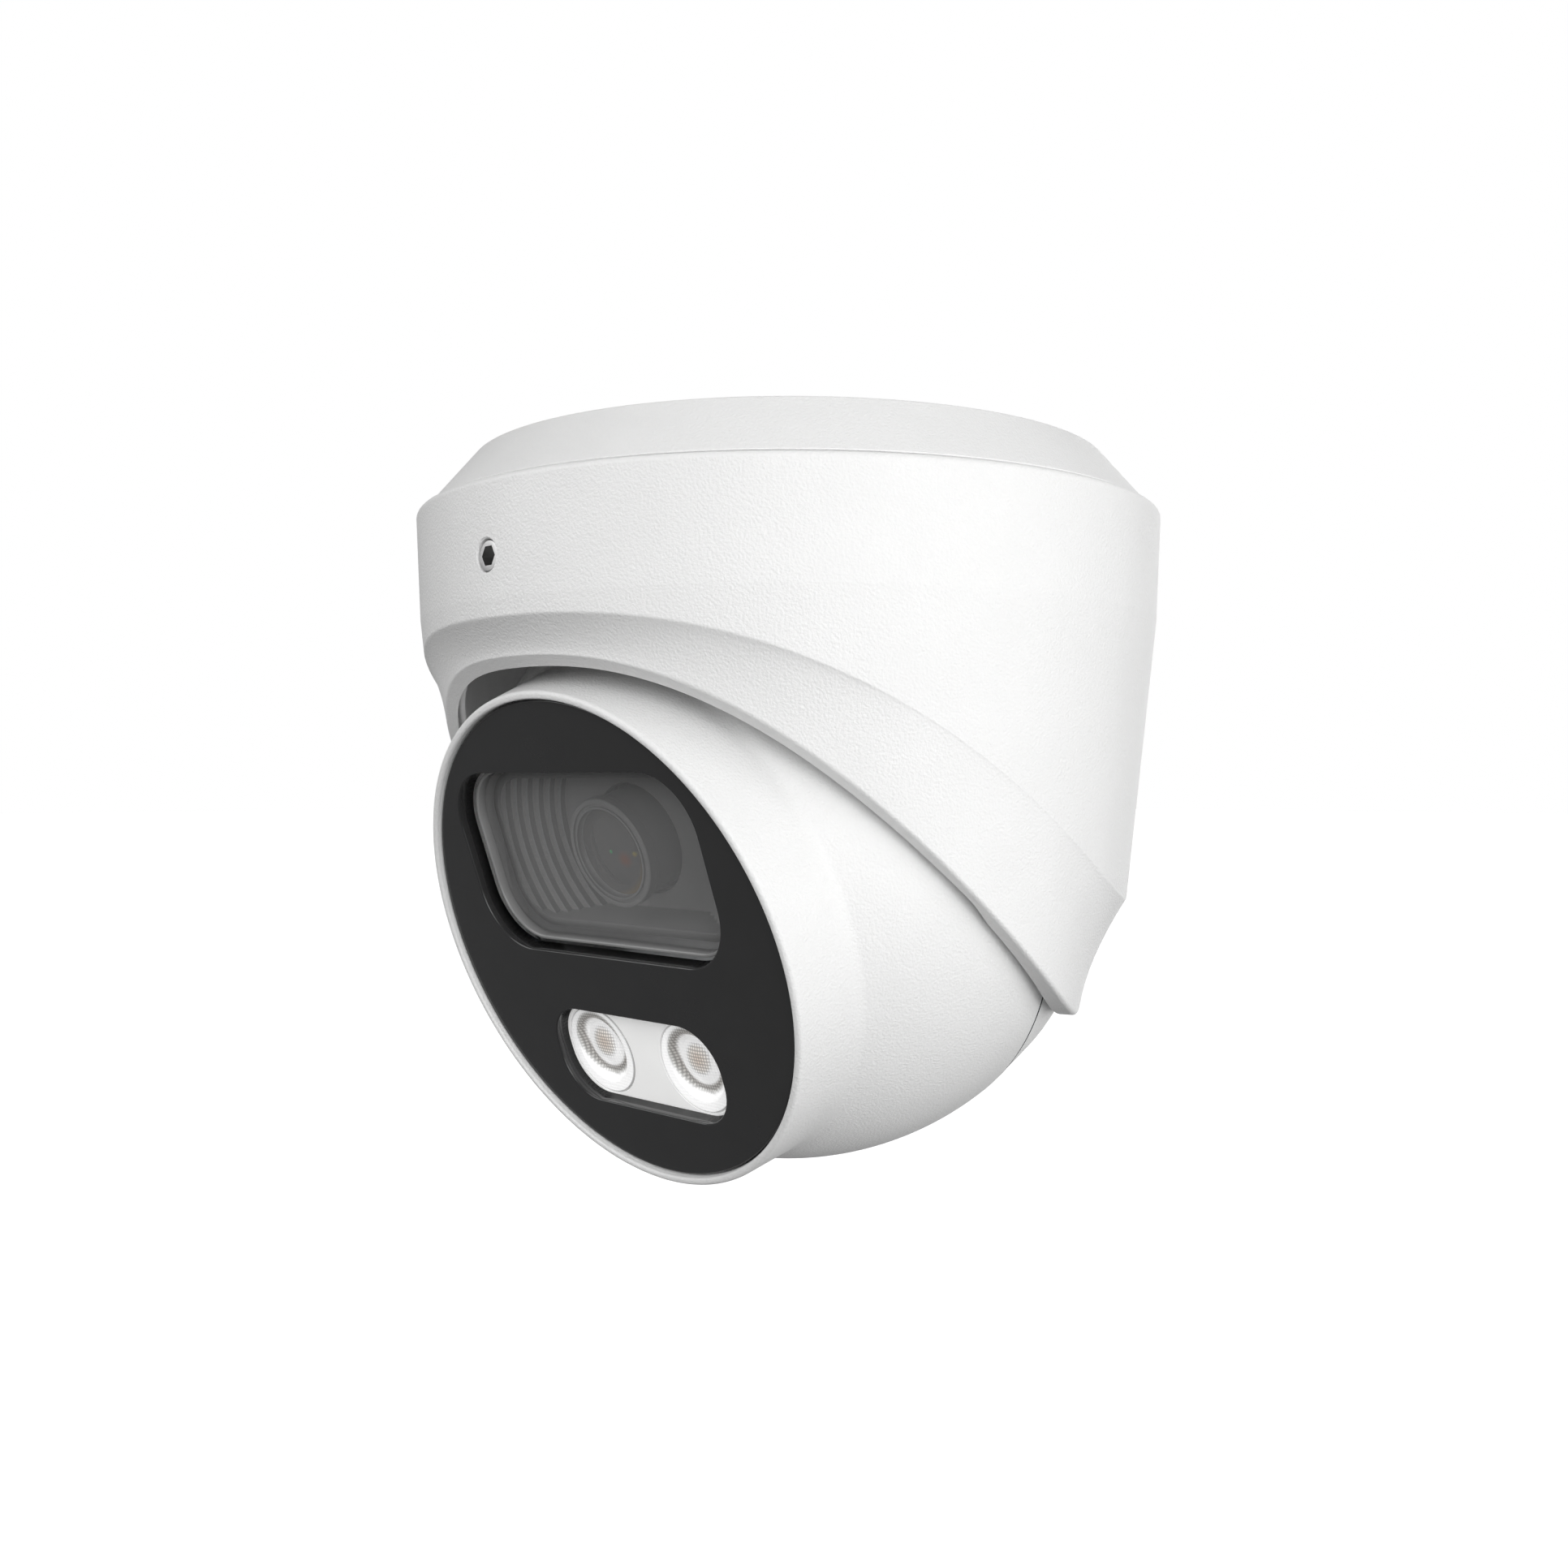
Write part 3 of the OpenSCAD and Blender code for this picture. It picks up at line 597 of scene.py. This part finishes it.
MATERIALS = {name: s.material for name, s in {
    "powder_coat": powder_coat(),
    "black_gloss": moulded("black_gloss", (0.0265, 0.0265, 0.027), 0.15, 1.5, 0.002),
    # Grey rubber has a faint white emission: painted light that lifts the lip seal out of the cavity's shade.
    "grey_rubber": moulded("grey_rubber", (0.70, 0.70, 0.70), 0.6, 0.2, 0.02,
                           Emission_Color=(1, 1, 1, 1), Emission_Strength=0.03),
    "black_rubber": moulded("black_rubber", (0.025, 0.025, 0.025), 0.7, 0.2, 0.02),
    "light_rubber": moulded("light_rubber", (0.26, 0.26, 0.26), 0.2, 0.3, 0.004),
    "dark_plastic": moulded("dark_plastic", (0.18, 0.18, 0.18), 0.5, 0.2, 0.01),
    # Bowl and lens parts: the side colour is painted shade, darker than the face colour.
    "baffle_plastic": painted_side_shade("baffle_plastic", 0.36, 0.09, 0.6),
    "lens_black": painted_side_shade("lens_black", 0.27, 0.06, 0.32),
    "optical_glass": glass_with_painted_glints(),
    "clear_pane": clear_pane(),
    "steel": turned_metal("steel", (0.48, 0.48, 0.48), 0.32),
    "cast_alloy": cast_alloy(),
    "brass": turned_metal("brass", (0.75, 0.58, 0.30), 0.30),
    "circuit_board": circuit_board(),
    "chip_black": moulded("chip_black", (0.03, 0.03, 0.03), 0.55, 0.15, 0.015),
    "sensor": moulded("sensor", (0.05, 0.07, 0.12), 0.12, 0.5, 0.002, Coat_Weight=1.0),
    # White plastic has a faint white emission: a painted glow, though it is no lamp.
    "white_plastic": moulded("white_plastic", (0.90, 0.90, 0.89), 0.38, 0.6, 0.004,
                             Emission_Color=(1, 1, 1, 1), Emission_Strength=0.22),
    "lamp_optic": lamp_optic(),
    "phosphor": phosphor(),
}.items()}

for part in frame["record"]["subparts"]:
    skin = frame["nodes"][part["node"]].data.materials
    skin.clear()
    skin.append(MATERIALS[part["material_slot"]])


# ------------------------------------------------------------------- housing

def ease(angle, reach, power):
    """0 at the front and 1 at the back, level at both ends."""
    return math.sin(math.pi / 2 * min(1.0, (abs(angle) / reach) ** power)) ** 2


def wall_r(z):
    """Outer radius of the housing's wall at height z."""
    if z > taper_z:
        return mix(housing_r, taper_r, (housing_top - z) / (housing_top - taper_z))
    return taper_r - taper_rate * (taper_z - z)


def inner_r(z):
    """Radius of the housing's cavity at height z."""
    if z > cavity_z:
        return mix(cavity_r, bore_r + bore_step, (z - cavity_z) / (taper_z - cavity_z))
    blend = max(0.0, 1 - (cavity_z - z) / socket_blend)
    return mix(math.sqrt(socket_r ** 2 - (z - ball_z) ** 2), cavity_r, blend)


def lip_edge_r(angle):
    return lip_front_r - lip_r_loss * ease(angle, narrow_reach, narrow_power)


def lip_face_z(angle, r):
    """Height of the lip's flat face at a radius."""
    lip_z = lip_front - lip_drop * ease(angle, lip_reach, lip_power)
    return lip_z - lip_slope * max(0.0, math.cos(math.radians(angle))) * (lip_edge_r(angle) - r)


def lip_inner_r(angle):
    """Radius at which the lip's flat face meets the cavity, found in a few rounds."""
    r = lip_edge_r(angle) - 2
    for _ in range(8):
        r = inner_r(lip_face_z(angle, r))
    return r


def flare(angle, steps=14):
    """Hollow curve from the wall's lower edge down to the lip, both ends included."""
    top_z = edge_front - edge_drop * ease(angle, edge_reach, edge_power)
    top = Vector((wall_r(top_z), top_z))
    low = Vector((lip_edge_r(angle), lip_face_z(angle, lip_edge_r(angle))))
    steep, opening = 0.15, mix(1, 0.62, min(1, abs(angle) / 120))
    drop = top.y - low.y
    bend = max(0.4, (top.x - low.x - steep * drop) / (opening - steep))
    elbow = top - Vector((opening, 1)) * bend
    return [top.lerp(elbow, t).lerp(elbow.lerp(low, t), t)
            for t in (k / steps for k in range(steps + 1))]


def housing_section(angle):
    """Outline of the housing's wall, flare, lip and cavity at an angle from the front."""
    curve = flare(angle)
    in_r = lip_inner_r(angle)
    in_z = lip_face_z(angle, in_r)
    turn_z = max(in_z + 0.5, cavity_z)
    corners = [(bore_r, housing_top, 0.4), (housing_r, housing_top, 0.9),
               (taper_r, taper_z, 0.8), (*curve[0], 0.7)]
    corners += [(*p, 0) for p in curve[1:-1]]
    corners += [(*curve[-1], 0.8), (in_r, in_z, 0.35)]
    corners += [(inner_r(z), z, 0) for z in
                (mix(in_z, turn_z, k / 8) for k in range(1, 9))]
    corners += [(bore_r + bore_step, taper_z, 0), (bore_r, taper_z + 0.3, 0)]
    return rounded(corners)


shell = sweep("housing_shell", housing_section, [k - 179.5 for k in range(360)], "housing",
              "powder_coat", ["housing"], finish=False)
screw_way = Matrix.Translation((0, 0, screw_z)) @ Matrix.Rotation(math.radians(90), 4, "X")
hole_mouth = housing_r - 0.45
mouth_r = screw_hole_r + 0.35
cut(shell, [cutter([(0, 40), (screw_hole_r, 40), (screw_hole_r, hole_mouth - 0.05),
                    (mouth_r, hole_mouth + 0.3), (mouth_r, 70), (0, 70)], screw_way)])


def liner_section(angle):
    """Sleeve against the cavity's wall, set back from the lip's flat face."""
    setback, glue, thick, top_z = 1.8, 0.06, 1.1, -27
    low = lip_face_z(angle, lip_edge_r(angle) - 2) + setback
    high = max(low + 3, top_z)
    return rounded([(inner_r(high) - glue, high, 0), (inner_r(low) - glue, low, 0),
                    (inner_r(low) - thick, low, 0.3), (inner_r(high) - thick, high, 0)])


liner_half_angle = 72
sweep("lip_seal", liner_section, range(-liner_half_angle, liner_half_angle + 1), "housing",
      "grey_rubber", ["lip_liner"], closed=False)

# Grub screw: turned body, then a hexagon socket
grub = lathe("grub_screw", rounded([
    (0, screw_tip, 0), (screw_r - 0.7, screw_tip, 0.1), (screw_r, screw_tip + 0.7, 0.1),
    (screw_r, screw_face, 0.12), (0, screw_face, 0)]),
    "set_screw", "steel", ["set_screw"], screw_way, turns=64, finish=False)
cut(grub, [cutter(drill(socket_hex_r, screw_face - socket_depth, screw_face + 1), screw_way,
                  sides=6)])


# -------------------------------------------------------------- mounting base

flange_z = housing_top + 0.2
base = lathe("base_shell", rounded([
    (6, 0, 0), (groove_in_r, 0, 0.1), (groove_in_r, groove_z, 0), (groove_out_r, groove_z, 0),
    (groove_out_r, 0, 0.1), (base_top_r, 0, 0.6), (base_low_r, flange_z + 0.15, 0.15),
    (base_low_r - 0.1, flange_z, 0.05), (skirt_r, flange_z, 0), (skirt_r, skirt_z, 0.4),
    (skirt_in_r, skirt_z, 0.3), (skirt_in_r, base_plate_z, 0), (6, base_plate_z, 0)]),
    "base", "powder_coat", ["mounting_base"], finish=False)
chamfer_r = bolt_hole_r + 0.3
bolt_hole = [(0, -10), (bolt_hole_r, -10), (bolt_hole_r, -0.3), (chamfer_r, 0), (chamfer_r, 5),
             (0, 5)]
cut(base, [cutter(bolt_hole, place) for place in three_round(IN_HOUSING, bolt_circle_r)]
    + [cutter(drill(grommet_r, -10, 5), IN_HOUSING)])


# ----------------------------------------------------------------------- ball

fillet_x = math.sqrt((ball_r + fillet_r) ** 2 - fillet_z ** 2)
ball_edge = fillet_z * ball_r / (ball_r + fillet_r)
fillet_start = 180 + math.degrees(math.asin(fillet_z / (ball_r + fillet_r)))
fillet_end = 180 + math.degrees(math.atan(barrel_draft))
front_profile = (
    [(ball_r - 0.8, seam_half, 0), (ball_r - 0.06, seam_half, 0.1)]
    + sphere_run(ball_r, 0.6, ball_edge - 0.01, 40)
    + [(*p, 0) for p in arc((fillet_x, fillet_z), fillet_r, fillet_start, fillet_end, 10)]
    + [(rim_r, rim_front, 0.6), (well_r, rim_front, 0.35), (well_r, plate_back, 0),
       (barrel_bore_r, plate_back, 0), (barrel_bore_r, 28, 0)]
    + sphere_run(shell_inner_r, seam_half, 27, 12)[::-1])
lathe("ball_front", rounded(front_profile), "ball", "powder_coat", ["front_shell"], IN_BALL,
      turns=360)

rear_profile = (
    [(shell_inner_r, -seam_half, 0)]
    + sphere_run(shell_inner_r, rear_wall, -2, 12)[::-1]
    + [(stub_bore_r, rear_wall, 0), (stub_bore_r, stub_end, 0.3), (stub_r, stub_end, 0.3),
       (stub_r, rear_flat, 0.2), (10.5, rear_flat, 0)]
    + sphere_run(ball_r, rear_flat + 0.1, -8.2, 36)
    + [(ball_r - 0.7, -8.0, 0), (ball_r - 0.08, -0.4, 0), (ball_r - 0.08, -seam_half, 0.1)])
rear = lathe("ball_rear", rounded(rear_profile), "ball", "powder_coat", ["rear_shell"],
             IN_BALL, turns=360, finish=False)
cut(rear, [cutter(drill(screw_recess_r, -60, screw_seat), place)
           for place in three_round(IN_BALL, shell_boss_r)])

seal_out_r, seal_in_r = ball_r - 0.05, shell_inner_r + 0.2
lathe("seam_seal", [(seal_out_r, seam_half), (seal_out_r, -seam_half), (seal_in_r, -seam_half),
                    (seal_in_r, seam_half)],
      "ball", "black_rubber", ["seam_gasket"], IN_BALL, turns=360)


# ----------------------------------------------------------------- face plate

def circle(radius, points=240, centre=(0, 0)):
    return lambda inset: arc(centre, radius - inset, 0, 360, points)[:-1]


def corner_run(half_w, low, high, radius, inset):
    """Rounded rectangle about x = 0, pulled in by inset."""
    return [p for cx, y, start in ((half_w - radius, low + radius, -90),
                                   (half_w - radius, high - radius, 0),
                                   (radius - half_w, high - radius, 90),
                                   (radius - half_w, low + radius, 180))
            for p in arc((cx, y), radius - inset, start, start + 90, 16)]


def window(inset):
    return corner_run(window_half_w, window_bottom, window_top, window_corner_r, inset)


def lamp_window(inset):
    half_h = optic_r + lamp_margin
    return corner_run(lamp_x + half_h, lamp_y - half_h, lamp_y + half_h, lamp_corner_r, inset)


panel("face_disc", plate_back, plate_front, circle(well_r - 0.25, 360),
      [window, lamp_window], 0.25, "ball", "black_gloss", ["face_plate"])

# Bead round the lens window
bead = rounded([(0.35, 34.2, 0), (0.35, 35.6, 0.12), (0.85, 35.6, 0.25), (0.9, 34.2, 0)])
follow("window_bead", window, bead, "ball", "light_rubber", ["window_gasket"])
panel("lens_cover", pane_back, pane_front, lambda inset: window(inset + 0.4), [], 0.1, "ball",
      "clear_pane", ["window_pane"]).visible_shadow = False
follow("lens_well", window, rounded([(1.4, floor_z, 0), (1.4, 33.05, 0), (2.6, 33.05, 0.25),
                                     (2.75, floor_z, 0)]),
       "ball", "dark_plastic", ["lens_shroud"])


# ------------------------------------------------------------------- lens well

# Bowl whose floor rises in circles round the lens
lens_place = IN_BALL @ Matrix.Translation((0, lens_y, 0))
bowl_top = lens_front - 0.1
steps, step_r, step_pitch = 6, 15.4, 1.28
rise = (bowl_top - floor_z) / steps
stairs = [(0, 20, 0), (lens_r + 0.25, 20, 0), (lens_r + 0.25, floor_z, 0)]
for k in range(steps):
    stairs += [(step_r + step_pitch * k, floor_z + rise * (k + up), 0.1) for up in (0, 1)]
stairs[-1] = (stairs[-1][0], 40, 0)
bowl = panel("well_bowl", floor_z - 1.4, bowl_top, lambda inset: window(inset + 2.65), [], 0.05,
             "ball", "baffle_plastic", ["baffle_plate"])
bowl.modifiers.clear()
cut(bowl, [cutter(rounded(stairs + [(0, 40, 0)]), lens_place, sides=240)])

lathe("lens_tube", rounded([(5, 17.4, 0), (6, 17.4, 0), (6, 24.8, 0), (lens_r - 0.45, 24.8, 0),
                            (lens_r - 0.45, lens_step, 0), (5, lens_step, 0)]),
      "ball", "lens_black", ["lens_barrel"], lens_place, turns=96)
lathe("lens_rim", rounded([
    (5, lens_step, 0), (lens_r, lens_step, 0.1), (lens_r, lens_front - 0.15, 0.05),
    (lens_r - 0.15, lens_front, 0.05), (glass_r + 0.85, lens_front, 0.04),
    (glass_r + 0.80, lens_front - 0.25, 0.02), (glass_r + 0.45, lens_front - 0.25, 0.02),
    (glass_r + 0.40, lens_front - 0.02, 0.04), (glass_r + 0.10, lens_front - 0.02, 0.04),
    (glass_r + 0.02, lens_front - 1.1, 0), (5, lens_front - 1.1, 0)], 3),
    "ball", "lens_black", ["lens_ring"], lens_place, turns=192)
crown = 14.0
crown_z = lens_front - 0.12 - crown
lens_edge_r = glass_r - 0.05
lathe("lens_glass", [(0, lens_front - 1.0), (lens_edge_r, lens_front - 1.0)]
      + [(crown * math.sin(a), crown_z + crown * math.cos(a)) for a in
         (math.asin(lens_edge_r / crown) * (1 - k / 12) for k in range(13))],
      "ball", "optical_glass", ["front_element"], lens_place, turns=96, own_axes=True)


# -------------------------------------------------------------------- lamps

lamp_top = plate_front - 2.0
panel("lamp_plate", lamp_top - 1.3, lamp_top, lambda inset: lamp_window(inset + 0.15),
      [circle(optic_r + 0.10, 96, (s * lamp_x, lamp_y)) for s in (-1, 1)], 0.08, "ball",
      "white_plastic", ["lamp_reflector"])
top = lamp_top + 0.04
optic_profile = rounded([
    (0, top - 0.7, 0), (1.8, top - 0.8, 0.3), (3.0, top - 1.1, 0.3), (3.9, top - 1.2, 0.2),
    (4.9, top - 0.3, 0.3), (5.2, top - 0.1, 0.1), (optic_r - 0.2, top, 0.08),
    (optic_r, top - 0.2, 0.1), (optic_r, top - 1.6, 0), (3.6, 30, 0), (0, 30.2, 0)])
# One CAD node holds both optics, so the left piece replaces it for both
for side, word in ((-1, "left"), (1, "right")):
    lathe(f"lamp_optic_{word}", optic_profile, "ball", "lamp_optic",
          ["lamp_optics"] if side < 0 else [],
          IN_BALL @ Matrix.Translation((side * lamp_x, lamp_y, 0)), turns=96, own_axes=True)


# ------------------------------------------------------------- studio and camera

def stage_floor():
    mesh = bpy.data.meshes.new("studio_floor")
    bm = bmesh.new()
    bmesh.ops.create_grid(bm, x_segments=8, y_segments=8, size=20)
    bm.to_mesh(mesh)
    bm.free()
    ground = stand("studio_floor", mesh)
    ground.location.z = -0.45
    ground.visible_diffuse = ground.visible_glossy = False
    paint = Surface("studio_paint", (0.93, 0.93, 0.93), 0.9, Specular_IOR_Level=0.0,
                    Emission_Color=(1, 1, 1, 1), Emission_Strength=0.9)
    paint.tint(paint.noise(0.002, 2), 0.01)
    mesh.materials.append(paint.material)


def soft_light(name, power, size, azimuth, elevation, distance=1.2):
    """Round area light that stands distance metres from the ball's middle and faces it."""
    data = bpy.data.lights.new(name, "AREA")
    data.energy, data.shape, data.size = power, "DISK", size
    lamp = bpy.data.objects.new(name, data)
    bpy.context.scene.collection.objects.link(lamp)
    a, e = math.radians(azimuth), math.radians(elevation)
    towards = Vector((math.sin(a) * math.cos(e), -math.cos(a) * math.cos(e), math.sin(e)))
    lamp.location = Vector((0, 0, ball_z * MM)) + towards * distance
    lamp.rotation_euler = towards.to_track_quat("Z", "Y").to_euler()


def studio_air(below, above):
    """White behind the object, and a dimmer light that grows from below to above."""
    world = bpy.data.worlds.new("studio_air")
    bpy.context.scene.world = world
    world.use_nodes = True
    sky = world.node_tree
    air = sky.nodes["Background"]
    air.inputs["Color"].default_value = (1, 1, 1, 1)
    direction = sky.nodes.new("ShaderNodeTexCoord")
    parts = sky.nodes.new("ShaderNodeSeparateXYZ")
    height = sky.nodes.new("ShaderNodeMapRange")
    height.inputs["From Min"].default_value = -1
    height.inputs["To Min"].default_value = below
    height.inputs["To Max"].default_value = above
    path = sky.nodes.new("ShaderNodeLightPath")
    level = sky.nodes.new("ShaderNodeMix")
    level.inputs["B"].default_value = 1.0
    sky.links.new(direction.outputs["Generated"], parts.inputs["Vector"])
    sky.links.new(parts.outputs["Z"], height.inputs["Value"])
    sky.links.new(height.outputs["Result"], level.inputs["A"])
    sky.links.new(path.outputs["Is Camera Ray"], level.inputs["Factor"])
    sky.links.new(level.outputs["Result"], air.inputs["Strength"])


def studio_camera(azimuth, distance, aside, height, pitch):
    """Camera looking at the object from an azimuth, a little to one side of its axis."""
    data = bpy.data.cameras.new("camera")
    data.sensor_width = 36
    data.lens = 34.72
    data.clip_start = 0.01
    camera = bpy.data.objects.new("camera", data)
    bpy.context.scene.collection.objects.link(camera)
    a = math.radians(azimuth)
    towards = Vector((math.sin(a), -math.cos(a), 0))
    across = Vector((math.cos(a), math.sin(a), 0))
    camera.location = (towards * distance - across * aside + Vector((0, 0, height))) * MM
    looking = towards + Vector((0, 0, math.tan(math.radians(pitch))))
    camera.rotation_euler = looking.to_track_quat("Z", "Y").to_euler()
    bpy.context.scene.camera = camera


stage_floor()
studio_air(0.135, 0.34)
soft_light("key", 6.5, 1.0, 70, 4)
soft_light("front", 5.0, 1.0, 44, 10)
soft_light("side", 5.5, 1.0, 105, 0)
soft_light("fill", 5.5, 1.0, -35, 25)
soft_light("back", 7.0, 1.2, 215, 5)
bpy.context.scene.view_settings.view_transform = "Standard"
studio_camera(44.5, 230.1, 0.645, -46.9, 0.058)
